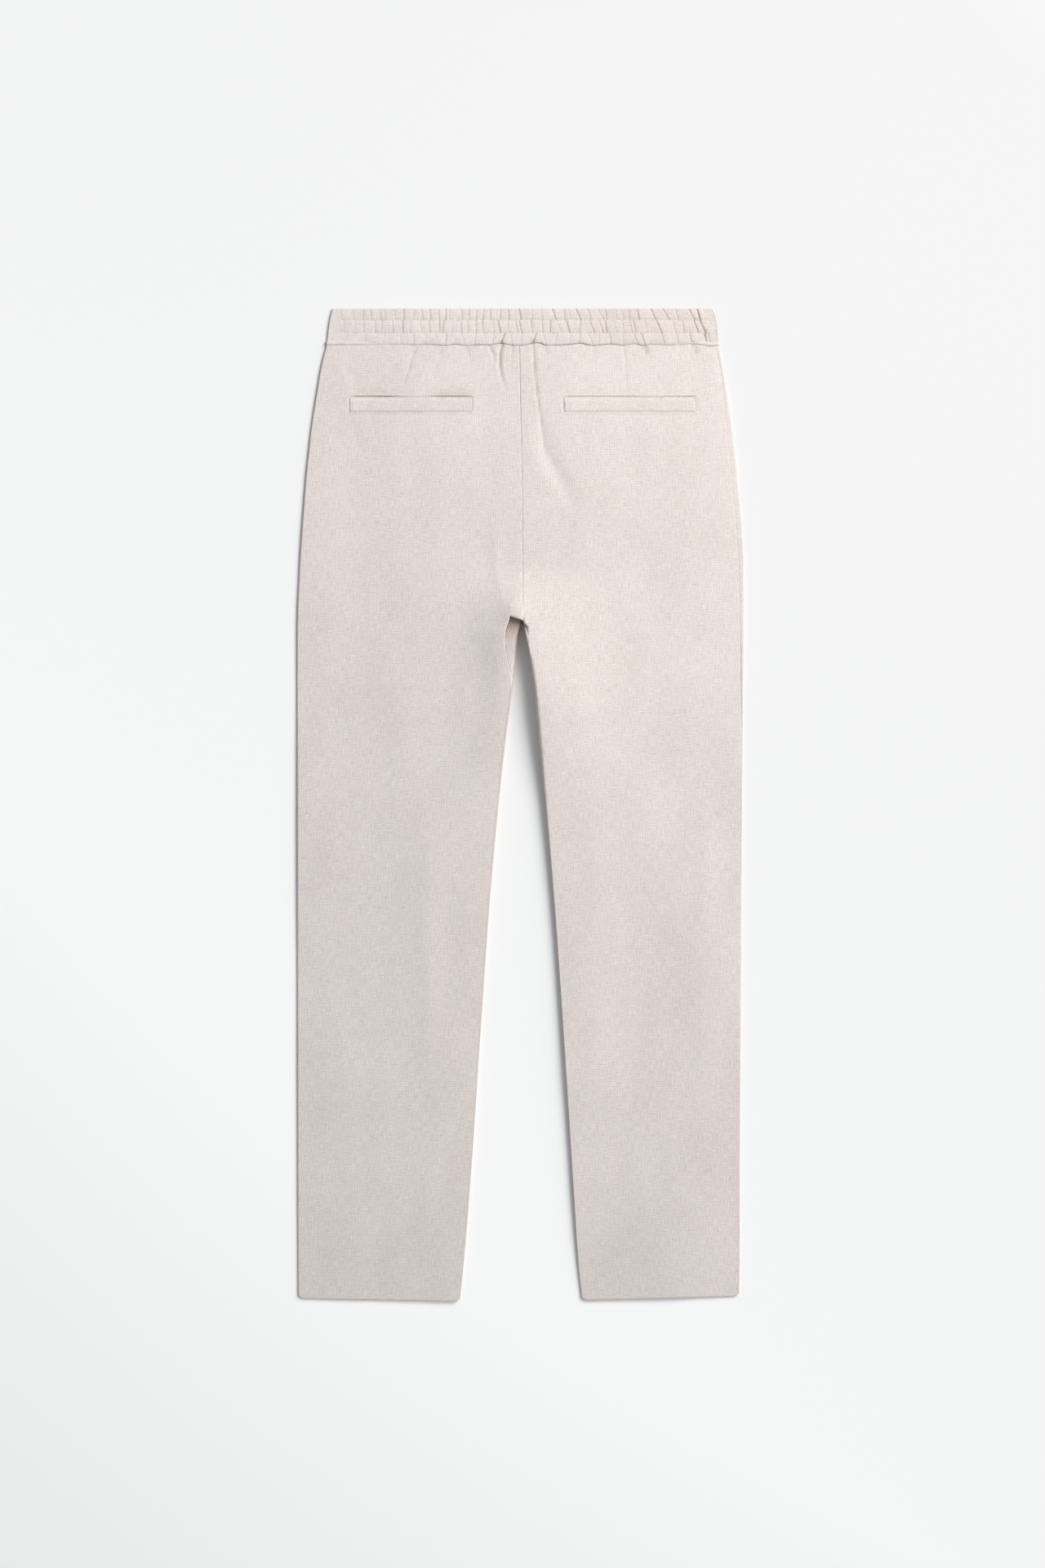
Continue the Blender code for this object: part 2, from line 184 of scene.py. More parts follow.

# Pocket mouths: how far each gapes along its length.
GAPES = {
    "left": [(0, 0.3), (4, 1.3), (12, 1.8), (36, 1.7), (52, 1.0), (62, 0.35), (80, 0.4),
             (96, 1.1), (114, 1.1), (127, 0.6), (129.4, 0.4)],
    "right": [(0, 0.5), (8, 0.9), (40, 0.8), (58, 1.0), (72, 0.8), (88, 0.5), (120, 0.9),
              (134, 1.2), (138, 0.8)],
}

# The seam between the waistband and the seat, as (x, down).
WAIST_SEAM = [
    (-206, 38.1), (-190, 38.0), (-178, 38.1), (-166, 38.4), (-150, 38.2), (-125, 38.1),
    (-113, 38.7), (-100, 38.2), (-88, 38.6), (-80, 39.4), (-71, 38.0), (-57, 39.3), (-48, 38.7),
    (-32, 38.4), (-20.3, 36.8), (-8.5, 39.0), (1.5, 39.0), (10, 37.4), (16, 36.4), (20, 36.5),
    (27, 39.0), (38, 38.8), (51, 38.1), (64, 36.8), (71, 38.4), (77.5, 39.1), (95.5, 37.8),
    (109, 38.9), (121, 37.4), (127, 38.9), (132, 39.2), (136, 37.9), (158, 38.7), (173, 38.0),
    (181, 36.8), (187, 37.6), (196, 38.4), (201, 39.5), (210, 38.7),
]

# Rows of stitching that part the waistband into three channels, as distances down.
STITCH_ROWS = (12.1, 25.9)
# Gathers of the back waistband, channel by channel: x at the channel's top and bottom, and depth.
BACK_GATHERS = [
    [(-190, -189, 0.3), (-178, -177, 0.4), (-166.2, -166.6, 0.7), (-158.6, -157.6, 0.8),
     (-148.6, -148, 0.8), (-144.2, -142.6, 0.6), (-133.2, -132.2, 0.6), (-123.6, -123.0, 1.0),
     (-112.0, -113.5, 0.4), (-104.9, -103.2, 0.8), (-96.2, -94.8, 1.0), (-86.8, -86.2, 0.6),
     (-78.6, -79.6, 1.2), (-74.6, -74.9, 0.5), (-62.2, -61.6, 0.9), (-54.4, -54.2, 0.9),
     (-46.9, -46.6, 0.8), (-38.6, -39.9, 1.0), (-31.9, -31.7, 1.0), (-21.2, -21.4, 1.0),
     (-13.3, -12.1, 1.0), (-1.5, 0.6, 1.4), (12.2, 12.4, 0.6), (22.2, 22.6, 0.7),
     (33.6, 37.4, 1.5), (45.9, 46.9, 0.8), (50.6, 53.6, 0.5), (58.4, 63.7, 1.4),
     (70.8, 74.8, 0.8), (81.0, 88.4, 0.7), (89.2, 91.0, 0.8), (100.6, 101.9, 0.5),
     (106.2, 110.0, 0.6), (114.2, 115.4, 0.8), (123.4, 125.6, 1.4), (137.8, 143.0, 1.3),
     (150.4, 157.5, 1.2), (163.8, 167.2, 0.8), (178.2, 184.4, 1.4), (187.0, 190.2, 2.2)],
    [(-187, -187, 0.4), (-175, -175.4, 0.4), (-165.3, -165.7, 0.6), (-153.8, -153.6, 0.7),
     (-146.5, -147.2, 0.5), (-135.4, -134.8, 0.7), (-124.8, -124.4, 1.3), (-116.3, -116.7, 0.6),
     (-105.6, -104.6, 0.5), (-96.9, -96.0, 0.8), (-85.9, -85.5, 1.1), (-81.0, -83.2, 1.1),
     (-72.6, -72.0, 0.4), (-64.1, -62.3, 0.8), (-55.9, -55.5, 0.8), (-47.2, -46.9, 0.8),
     (-41.0, -39.2, 1.0), (-28.6, -28.2, 0.5), (-23.8, -21.6, 1.4), (-13.6, -12.8, 0.5),
     (-5.6, -3.0, 0.9), (-1.4, 1.3, 1.3), (10.8, 12.5, 1.0), (22.6, 23.4, 0.9),
     (31.4, 31.6, 1.3), (38.2, 43.4, 0.5), (48.4, 52.0, 1.4), (63.4, 62.0, 0.9),
     (72.4, 78.5, 1.0), (83.0, 87.7, 0.9), (89.2, 91.5, 1.3), (98.0, 101.6, 0.4),
     (107.0, 110.6, 0.5), (115.4, 118.2, 0.7), (119.0, 122.4, 1.0), (131.0, 134.2, 0.5),
     (143.6, 149.4, 1.4), (161.0, 164.4, 0.7), (171.0, 173.0, 0.9), (183.4, 188.6, 1.5),
     (189.9, 196.2, 2.2)],
    [(-184, -184, 0.3), (-164, -163.6, 0.4), (-144, -144.8, 0.4), (-127, -126.4, 0.4),
     (-113.2, -112.6, 0.7), (-100, -101, 0.3), (-90.4, -86.8, 0.6), (-77.8, -80.0, 1.0),
     (-62.4, -58.0, 0.5), (-47.4, -48.2, 0.7), (-38.0, -36.0, 0.4), (-27.9, -29.2, 0.8),
     (-16.4, -20.3, 1.5), (-10.6, -8.6, 0.5), (1.4, 0.6, 0.5), (16.6, 13.4, 1.4),
     (24.0, 27.2, 0.7), (38.8, 36.4, 0.6), (54.6, 51.6, 0.4), (63.1, 61.8, 0.9),
     (71.0, 77.4, 0.6), (84.0, 82.0, 0.5), (94.2, 95.6, 0.6), (108.0, 109.0, 0.5),
     (119.6, 124.6, 0.9), (127.4, 131.8, 1.2), (149.3, 152.6, 0.8), (165.4, 166.8, 0.6),
     (178.8, 181.4, 1.2), (194.6, 198.0, 2.0), (198.8, 201.2, 1.2)],
]
GATHER_WIDTH = 0.85
GATHER_SHARE = 0.29  # of the depths above
GATHER_LIMIT = 1.1  # of those depths, past which only the shade grows
# Strength of the painted shade along the gathers.
GATHER_SHADE = 0.44
RIGHT_SHADE = 0.11  # painted shade over the tighter gathered right part of the waistband
CHANNEL_SWELL = (0.35, 0.35, 0.3)  # how far each channel swells between its stitching
SEAM_STEP, SEAM_SHADE = 1.0, 0.14  # how far the seat dips at the waistband's seam, and the painted shade there
BAND_ROLL = 0.85  # roll of the waistband's two ends
# Height of the waistband along its length, as (x, height).
BAND_CROWN = [(-205, 2.2), (-60, 3.8), (0, 4.1), (60, 3.9), (150, 3.1), (210, 2.8)]
BAND_NOSE = 0.8  # roll of the waistband's top edge
BAND_TURNING = 0.6  # roll of its lower edge over the seam
SLOT = (18.0, 1.1, 6.6)  # drawstring slot: from the centre, half its width, half its length

# Stitches: radius of the thread, length and pitch, and how far its middle stands above the cloth.
BAND_STITCH = (0.17, 1.9, 2.9)
SEAT_STITCH = (0.12, 1.7, 2.6)
STITCH_LIFT = 0.04

LEGS = ("left", "right")


def smooth(value, start, end):
    """0 up to start, 1 from end on, and an easy curve between them."""
    share = np.clip((value - start) / (end - start), 0.0, 1.0)
    return share * share * (3.0 - 2.0 * share)


def mix(first, second, share):
    """first at share 0, second at share 1."""
    return first + (second - first) * share


def curve(points, at):
    """Values at `at` on a line through (place, value) points, curved but never past them."""
    xs, ys = np.array(points, float).T
    slopes = np.diff(ys) / np.diff(xs)
    product, total = slopes[:-1] * slopes[1:], slopes[:-1] + slopes[1:]
    inner = np.where(product > 0, 2 * product / np.where(product > 0, total, 1.0), 0.0)
    tangents = np.concatenate([slopes[:1], inner, slopes[-1:]])
    at = np.clip(at, xs[0], xs[-1])
    i = np.clip(np.searchsorted(xs, at, side="right") - 1, 0, len(xs) - 2)
    step = xs[i + 1] - xs[i]
    t = (at - xs[i]) / step
    start = (1 + 2 * t) * (1 - t) ** 2 * ys[i] + t * (1 - t) ** 2 * step * tangents[i]
    return start + t * t * (3 - 2 * t) * ys[i + 1] - t * t * (1 - t) * step * tangents[i + 1]


def ripple(x, y, length, seed, count=12):
    """A gentle unevenness of about that wavelength, between -1 and 1."""
    draw = np.random.default_rng(seed)
    total = 0.0
    for _ in range(count):
        turn, phase, scale = draw.uniform(0, 2 * pi, 2).tolist() + [draw.uniform(0.7, 1.5)]
        wave = 2 * pi / (length * scale)
        total = total + np.cos(wave * (x * np.cos(turn) + y * np.sin(turn)) + phase)
    return total / count**0.5 / 1.5


def node_edges(name):
    """Both ends of every edge of a CAD piece."""
    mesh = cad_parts[name].data
    points = np.empty(3 * len(mesh.vertices), np.float32)
    ends = np.empty(2 * len(mesh.edges), np.int32)
    mesh.vertices.foreach_get("co", points)
    mesh.edges.foreach_get("vertices", ends)
    return points.reshape(-1, 3)[ends.reshape(-1, 2)].astype(float) / MM


def cut_across(edges, down):
    """The least and the greatest x where pieces are cut across."""
    y = TOP - down
    a, b = edges[:, 0], edges[:, 1]
    crossed = (a[:, 1] - y) * (b[:, 1] - y) < 0
    a, b = a[crossed], b[crossed]
    x = mix(a[:, 0], b[:, 0], (y - a[:, 1]) / (b[:, 1] - a[:, 1]))
    return x.min(), x.max()


def outline(names, downs, passes):
    """Left and right edges of CAD pieces at those places, with their facets smoothed away."""
    edges = np.concatenate([node_edges(name) for name in names])
    cuts = np.array([cut_across(edges, down + 0.013) for down in downs])
    for _ in range(passes):
        cuts[1:-1] = cuts[:-2] / 4 + cuts[1:-1] / 2 + cuts[2:] / 4
    return cuts.T


LEG_PLACES = np.arange(39.0, 1041.0, 4.0)
SIDE, INNER = {}, {}
for leg in LEGS:
    pair = ["back_panel_" + leg, "front_panel_" + leg]
    wide, narrow = outline(pair, LEG_PLACES, 6), outline(pair, LEG_PLACES, 2)
    side = wide[0] if leg == "left" else wide[1]
    inner = narrow[1] if leg == "left" else narrow[0]
    SIDE[leg] = np.column_stack([LEG_PLACES, side])
    INNER[leg] = np.column_stack([LEG_PLACES, inner])
BAND_PLACES = np.linspace(0.5, 38.0, 16)
band_ends = outline(["waistband_back", "waistband_front"], BAND_PLACES, 1)
BAND_LEFT = np.column_stack([BAND_PLACES, band_ends[0]])
BAND_RIGHT = np.column_stack([BAND_PLACES, band_ends[1]])


def run_on(points, at):
    """curve(), carried on in a straight line past the last point."""
    last, before = points[-1], points[-12]
    slope = (last[1] - before[1]) / (last[0] - before[0])
    return curve(points, at) + np.maximum(at - last[0], 0) * slope


def columns(anchors):
    """Places across a sheet, row by row, from (place, steps to the next) anchors."""
    parts = []
    for (start, steps), (end, _) in zip(anchors, anchors[1:]):
        parts.append(mix(start[:, None], end[:, None], np.arange(steps) / steps))
    return np.hstack(parts + [anchors[-1][0][:, None]])


def rolled(arc, radius):
    """Across a rolled edge, by the arc from its middle: how far in, how high, and the turn."""
    turn = np.clip(arc / radius, -pi / 2, pi / 2)
    past = np.maximum(np.abs(arc) - radius * pi / 2, 0.0)
    return radius * (1 - np.cos(turn)) + past, radius * (1 + np.sin(turn)), turn


def arc_of(inset, radius):
    """The arc from a rolled edge's middle to a place that far in on its upper face."""
    on_roll = radius * np.arccos(np.clip(1 - inset / radius, -1, 1))
    return np.where(inset < radius, on_roll, inset - radius + radius * pi / 2)


def by_fold(x, down, fold, width):
    """How deep a fold is at that place down, and how many widths off its line x is."""
    downs, xs, depths = np.array(fold, float).T
    off = (x - curve(np.column_stack([downs, xs]), down)) / width
    depth = curve(np.column_stack([downs, depths]), down)
    return (down > downs[0]) * (down < downs[-1]) * depth, np.abs(off)


def fold_depth(x, down, fold, width):
    """How far a fold lowers the cloth, with a low lip along each side."""
    depth, off = by_fold(x, down, fold, width)
    return depth * (np.exp(-(off**1.5)) - 0.16 * np.exp(-((off - 2.0) ** 2)))


def fold_shade(x, down, fold, width):
    """Painted shade along the bottom of a fold, where its shadow would fall."""
    depth, off = by_fold(x, down, fold, width)
    return np.maximum(depth, 0) * np.exp(-(off**2))


def seam_crease_shade(x, down):
    """Painted shade of the creased spots along the waistband's seam."""
    return sum(shade * np.exp(-(((x - a) / reach) ** 2) - ((down - b) / (1.3 * reach)) ** 2)
               for a, b, reach, shade in SEAM_CREASE_SHADE)


def edge_shade(arc, radius):
    """Painted shade on the rolled edges, which dims the rims that face the light."""
    return 0.5 * np.clip(1 - np.abs(arc / (2.1 * radius)) ** 4, 0, 1)


def line(distance, width):
    """A soft line, 1 at its middle."""
    return np.exp(-((distance / width) ** 2))


def welt_box(leg):
    """Left, right, top and bottom of a pocket's welt, the last two as distances down."""
    low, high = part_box("back_welt_" + leg)
    return low[0] / MM, high[0] / MM, TOP - high[1] / MM, TOP - low[1] / MM


def pocket_depth(x, down, leg):
    """How far the back lies lower under a welt and in the pocket's mouth."""
    left, right, top, bottom = welt_box(leg)
    across = smooth(x, left - 0.3, left + 0.9) * (1 - smooth(x, right - 0.3, right + 0.9))
    under = smooth(down, top - 0.6, top + 0.2) * (1 - smooth(down, bottom - 0.9, bottom + 0.3))
    gape = curve([(left + a, b) for a, b in GAPES[leg]], x)
    mouth = np.exp(-(((down - top + 0.2) / 0.9) ** 2)) + 0.22 * np.exp(-(((down - top + 3.5) / 3.5) ** 2))
    return across * (np.maximum(0.75 * under, gape * mouth) + 0.1 * line(down - bottom - 2.6, 0.8))


def pocket_shade(x, down, leg):
    """Painted shade in a pocket's mouth, round its welt and along the stitching below it."""
    left, right, top, bottom = welt_box(leg)
    across = smooth(x, left - 1, left) * (1 - smooth(x, right, right + 1))
    gape = curve([(left + a, b) for a, b in GAPES[leg]], x)
    shade = 0.34 * gape * line(down - top + 0.2, 0.7) + 0.2 * line(down - bottom, 0.6)
    shade = shade + 0.1 * line(down - bottom - 2.6, 0.6)
    between = smooth(down, top - 1, top) * (1 - smooth(down, bottom, bottom + 1))
    near_end, far_end = (0.1, 0.46) if leg == "left" else (0.14, 0.26)
    ends = (near_end * line(x - left, 0.6) + far_end * line(x - right, 0.6)) * between
    # Painted shade on the seat just above the left pocket's mouth.
    if leg == "left":
        from_mouth = top - down
        soft = smooth(x, -102, -84) * (1 - smooth(x, -62, -40))
        shade = shade + 0.3 * soft * np.exp(-np.abs(from_mouth - 1.0) / 5.0) * (from_mouth > 0)
        soft = smooth(x, -182, -170) * (1 - smooth(x, -150, -120))
        shade = shade + 0.09 * soft * np.exp(-np.abs(from_mouth) / 3.0) * (from_mouth > 0)
    return across * shade + ends


def waist_wave(x):
    """How far the waistband's seam strays from its mean line."""
    return curve(WAIST_SEAM, x) - BAND_HEIGHT


def panel_rows():
    """Places down a panel, and how far round its hem fold each one is (0 before the fold)."""
    spans = [(35.0, 40.0, 8), (40.0, 91.0, 46), (91.0, 97.0, 10), (97.0, 107.0, 7),
             (107.0, 113.0, 8), (113.0, 140.0, 18), (140.0, 300.0, 44), (300.0, 322.0, 11),
             (322.0, NOTCH, 12), (NOTCH, 346.0, 20), (346.0, 370.0, 14), (370.0, 1030.0, 104),
             (1030.0, LENGTH - HEM_FOLD, 10)]
    flat = np.concatenate([np.linspace(a, b, n, endpoint=False) for a, b, n in spans])
    turns = np.linspace(0.0, pi, 7)
    back = np.linspace(0.0, HEM_TURNING, 6)[1:]
    fold = LENGTH - HEM_FOLD
    downs = np.concatenate([flat, fold + HEM_FOLD * np.sin(turns), fold - back])
    sinks = np.concatenate([0 * flat, HEM_FOLD * (1 - np.cos(turns)), 0 * back + 2 * HEM_FOLD])
    return downs, sinks


def hem_rise(leg, share, width, down):
    """How far the cloth near a hem stands above the hem's lowest line."""
    at_side, at_inseam = HEM_RISE[leg]
    lift, reach = HEM_CORNER
    to_corner = np.minimum(share, 1 - share) * width / reach
    corner = lift * np.clip(1 - to_corner, 0, 1) ** 2
    return (mix(at_side, at_inseam, share) + corner) * smooth(down, HEM_START, LENGTH)


def leg_sizes(leg, downs):
    """x of a leg's side and inner edges, its width, and the radius of each edge's roll."""
    side, inner = run_on(SIDE[leg], downs), run_on(INNER[leg], downs)
    return side, inner, np.abs(inner - side), curve(SIDE_ROLL[leg], downs), curve(INSEAM_ROLL[leg], downs)


def top_height(leg, from_side, width, down):
    """Height of the upper layer that far from a leg's side."""
    side_roll = curve(SIDE_ROLL[leg], down)
    low = mix(curve(EDGE[leg], down), curve(CROWN[leg], down), smooth(from_side - side_roll, 0, RAMP[leg]))
    from_ridge = width - from_side - RIDGE[leg]
    away = 0.5 * (from_ridge + np.sqrt(from_ridge**2 + 18.0**2))
    tent = 1 - np.clip(away / (width - RIDGE[leg]), 0, 1)
    brow = curve(BROW[leg], down) * np.exp(-(((width - from_side) / BROW_REACH[leg]) ** 2))
    rise = curve(RISE, down) + curve(CROWN["right"], down) - curve(CROWN[leg], down)
    return low + rise * tent + brow


def rounded(share):
    """A quarter circle's drop: 0 at share 1 or more, and 1 where the share comes to 0."""
    share = np.clip(share, 0, 1)
    return 1 - np.sqrt(1 - (1 - share) ** 2)


def settle(leg, arcs, downs, sinks, under, dips, in_leg):
    """Points of a panel from its places across, by the arc from the side edge's middle.

    The upper face counts arcs over the top and the under one beneath. `dips` turns cloth
    inwards at a seam, and in_leg is 0 where there is no inseam to roll round yet.
    """
    side, _, width, side_roll, inner_roll = [a[:, None] for a in leg_sizes(leg, downs)]
    in_leg = in_leg[:, None]
    down = downs[:, None]
    spare = pi / 2 - 1
    total = width + spare * side_roll + spare * inner_roll * in_leg
    from_inner = total - arcs
    near_side = arcs < total / 2
    sign = -1.0 if under else 1.0
    in_side, high_side, turn_side = rolled(sign * arcs, side_roll)
    in_inner, high_inner, turn_inner = rolled(sign * from_inner, inner_roll)
    level, flat_in = 2 * inner_roll, from_inner
    if under:
        start, knee = from_inner.min(axis=1, keepdims=True), 30.0
        spread = mix(GAP / 2, knee, (from_inner - start) / (knee - start))
        level, flat_in = 0.0, np.where(from_inner < knee, spread, from_inner)
    in_inner = mix(flat_in, in_inner, in_leg)
    high_inner = mix(level, high_inner, in_leg)
    turn_inner = mix(sign * pi / 2, turn_inner, in_leg)
    in_edge = np.where(near_side, in_side, in_inner)
    high = np.where(near_side, high_side, high_inner)
    turn = np.where(near_side, turn_side, turn_inner)
    roll = np.where(near_side, side_roll, inner_roll)
    toward = 1 if leg == "left" else -1
    from_side = np.where(near_side, in_edge, width - in_edge)
    across = from_side / width
    top = top_height(leg, from_side, width, down)
    if under:
        top = top - np.where(near_side, 0.0, curve(STRIP_DIP[leg], down))
    high = high + 0.5 * (1 + np.sin(turn)) * (top - 2 * roll)
    x = side + toward * from_side
    sink = np.minimum(dips + sinks[:, None], np.maximum(2 * roll - WALL - 0.2, sinks[:, None]))
    x = x + toward * np.where(near_side, 1, -1) * sink * np.cos(turn)
    z = high - sink * np.sin(turn)
    y = TOP - down + hem_rise(leg, across, width, down)
    return x, y, z, turn


def seam_dip(from_seam):
    """How the upper piece of a seam turns down into it."""
    return 0.18 * (1 - np.clip(from_seam / CURL, 0, 1)) ** 2


def tuck_dip(from_seam):
    """How the lower piece of a seam goes in beneath the upper one."""
    return 1.0 * (1 - smooth(from_seam, -0.9, 0.15))


def lay_cloth(name, places, lengths, material, shade, holes=()):
    """A wall of cloth under a grid of points, given as rows of (x, y, z) from left to right."""
    rows, count, _ = places.shape
    form = bmesh.new()
    weave = form.loops.layers.uv.new("weave")
    bmesh.ops.create_grid(form, x_segments=count - 1, y_segments=rows - 1, size=1)
    steps = np.linalg.norm(np.diff(places, axis=1), axis=2)
    across = np.concatenate([np.zeros((rows, 1)), np.cumsum(steps, axis=1)], axis=1)
    across -= across[:, count // 2 : count // 2 + 1]
    spots = np.dstack([across, np.broadcast_to(lengths[:, None], across.shape)]).reshape(-1, 2) * MM
    # Each point carries the strength of painted shade there, which darkens the cloth's colour.
    painted_shade = form.verts.layers.float.new("painted_shade")
    shades = np.clip(shade, 0, 1).ravel().tolist()
    placed = zip(form.verts, (places.reshape(-1, 3) * MM).tolist(), shades)
    for vertex, place, dark in placed:
        vertex.co = place
        vertex[painted_shade] = dark
    spots = spots.tolist()
    for face in form.faces:
        for loop in face.loops:
            loop[weave].uv = spots[loop.vert.index]
    form.faces.ensure_lookup_table()
    gone = [form.faces[i] for i in np.flatnonzero(holes)]
    bmesh.ops.delete(form, geom=gone, context="FACES")
    return finish_piece(name, form, WALL, material)


def in_scene(name, data):
    """A new object that holds that mesh, light or camera."""
    made = bpy.data.objects.new(name, data)
    bpy.context.scene.collection.objects.link(made)
    return made


def mesh_of(name, form, material):
    """A mesh from a finished form, which is then freed."""
    mesh = bpy.data.meshes.new(name)
    form.to_mesh(mesh)
    form.free()
    mesh.materials.append(material)
    return mesh


def finish_piece(name, form, wall, material):
    """A smooth piece of the garment, given a wall of cloth unless wall is 0."""
    mesh = mesh_of(name, form, material)
    mesh.shade_smooth()
    piece = in_scene(name, mesh)
    if wall:
        cloth = piece.modifiers.new("cloth", "SOLIDIFY")
        cloth.thickness = wall * MM
        cloth.offset = -1
    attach(piece, "root")
    return piece


def row_lengths(downs):
    """Distance along a panel to each row, hem turning included."""
    return -np.concatenate([[0], np.cumsum(np.abs(np.diff(downs)))])


def back_relief(x, down, leg):
    """How far the folds, the dart, the pocket and the waist seam lower a back panel, and their painted shade.
    """
    below_band = down - BAND_HEIGHT
    depth = pocket_depth(x, down, leg) + SEAM_STEP * (1 - smooth(below_band, -0.6, 0.8))
    shade = pocket_shade(x, down, leg) + SEAM_SHADE * (1 - smooth(below_band, -0.2, 0.9))
    for fold, half in BACK_FOLDS:
        pressed = PRESSED_SHARE if half < 3 else 1.0
        depth = depth + pressed * fold_depth(x, down, fold, half)
        shade = shade + (1 - pressed) * 0.72 * fold_shade(x, down, fold, 0.55 * half)
    depth = depth + DART_SHARE * fold_depth(x, down, DARTS[leg], DART_WIDTH)
    shade = shade + DART_SHARE * fold_shade(x, down, DARTS[leg], DART_LINE)
    return depth, shade + seam_crease_shade(x, down)


def back_panel(leg, material):
    """The back of a leg with its half of the seat, from the side seam to the centre or the inseam."""
    downs, sinks = panel_rows()
    side, _, width, side_roll, inner_roll = leg_sizes(leg, downs)
    in_leg = smooth(downs, *LEG_STARTS["back"])
    total = width + (pi / 2 - 1) * (side_roll + inner_roll * in_leg)
    side_arc = arc_of(curve(SIDE_SEAM[leg], downs), side_roll)
    flat_inset = curve(INSEAM[leg], downs)
    inner_arc = mix(flat_inset, arc_of(flat_inset, inner_roll), in_leg)
    scale = width / HALF_WIDTH
    dart = curve([(d, x) for d, x, _ in DARTS[leg]], downs)
    dart_arc = np.abs(dart - side) + (pi / 2 - 1) * side_roll
    dart_arc = mix(dart_arc, total * 0.48, smooth(downs, 94, 330))
    seam = total - inner_arc
    anchors = [(side_arc, 2), (side_arc + CURL, 8), (side_arc + CURL + 9, 28),
               (dart_arc - 2.6 * scale, 7), (dart_arc + 2.6 * scale, 16),
               (total - 64 * scale, 30), (seam - SHOULDER - 1, 12), (seam - CURL, 3)]
    if leg == "left":
        centre = np.where(downs <= NOTCH, total - GAP / 2, seam + 1)
        anchors += [(seam, 10), (np.maximum(centre - CURL, seam + 0.5), 2), (centre, 0)]
    else:
        reach = mix(3.0, 0.4, smooth(downs, *TUCK_ENDS))
        anchors += [(seam, 3), (seam + reach, 0)]
    arcs = columns(anchors)
    down = downs[:, None]
    past = arcs - seam[:, None]
    dips = seam_dip(arcs - side_arc[:, None])
    if leg == "left":
        at_seam = seam_dip(-past) * smooth(down, NOTCH - 1, NOTCH + 1)
        dips = dips + seam_dip(centre[:, None] - arcs) * (down <= NOTCH) + at_seam
    else:
        joined = smooth(down, *TUCK_ENDS)
        dips = dips + np.maximum(tuck_dip(-past) * (1 - joined), seam_dip(-past) * joined)
    x, y, z, turn = settle(leg, arcs, downs, sinks, False, dips, in_leg)
    upright = np.clip(np.sin(turn), 0, 1)
    fall = np.maximum(curve(STRIP_DIP[leg], down) - WALL - GAP, 0)
    fall = fall * smooth(down, *((NOTCH, NOTCH + 1) if leg == "left" else (NOTCH + 6, NOTCH + 10)))
    beside = rounded(-past / SHOULDER) * (past <= 0.01)
    z = z - fall * beside
    at_x, at_down, reach, height = NOTCH_BULGE
    z = z + height * np.exp(-((x - at_x) ** 2 + (down - at_down) ** 2) / reach**2) * (down <= NOTCH + 8)
    depth, shade = back_relief(x, down, leg)
    # Painted shadow where the back's edge rounds down to the strip.
    shade = shade + 0.9 * beside * np.clip(fall / 2, 0, 1)
    # Painted shade along the centre seam.
    from_centre = np.abs(total[:, None] - arcs)
    along_centre = curve([(38, 0.3), (90, 0.24), (140, 0.1), (300, 0.06), (318, 0.0)], down)
    shade = shade + along_centre * line(from_centre, 0.6) * (down < NOTCH)
    if leg == "left":
        # Painted shade along the stitching beside the centre seam.
        second = (1 - smooth(down, 70, 82)) * (1 - in_leg[:, None])
        shade = shade + 0.14 * second * line(from_centre - 2.6, 0.55)
        # Painted shade on the left leg's inner rim, which faces the key light.
        shade = shade + edge_shade(total[:, None] - arcs, inner_roll[:, None]) * in_leg[:, None]
    else:
        # Painted shade on the right leg's side rim, which faces the key light.
        shade = shade + 0.6 * edge_shade(arcs, side_roll[:, None])
        # Painted shade along the right side seam.
        shade = shade + 0.2 * line(arcs - side_arc[:, None] - 0.3, 0.5) * (1 - smooth(down, 180, 420))
    uneven = 0.45 * ripple(x, y * 0.6, 120, 3) + 0.10 * ripple(x, y * 0.5, 34, 4)
    z = z - (depth - uneven * smooth(down, 38, 60)) * upright
    y = y - waist_wave(x) * (1 - smooth(down, 42, 80))
    if leg == "left":
        share = np.clip(past / np.maximum(inner_arc, 1)[:, None], 0, 1)
        y = y - NOTCH_DROP * share * smooth(down, 296, NOTCH)
        x = x + NOTCH_LEAN * share * smooth(down, 308, 322)
        lip = rounded((NOTCH - down) / LIP) * (down <= NOTCH)
        z = z - LIP_DROP * lip * (past > -0.01) * (1 - 0.8 * smooth(share, 0.75, 1.0))
    z = np.where(turn > 0, np.maximum(z, WALL + 0.1), z)
    places = np.dstack([x, y, z])
    lengths = row_lengths(downs)
    holes = np.zeros((len(downs) - 1, arcs.shape[1] - 1), bool)
    if leg == "left":
        holes[downs[:-1] >= NOTCH, -12:] = True
    places, lengths, shade, holes = places[::-1], lengths[::-1], shade[::-1], holes[::-1]
    if leg == "right":
        places, shade = places[:, ::-1], shade[:, ::-1]
    piece = lay_cloth("back_" + leg, places, lengths, material, shade, holes)
    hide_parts("back_panel_" + leg)
    return piece


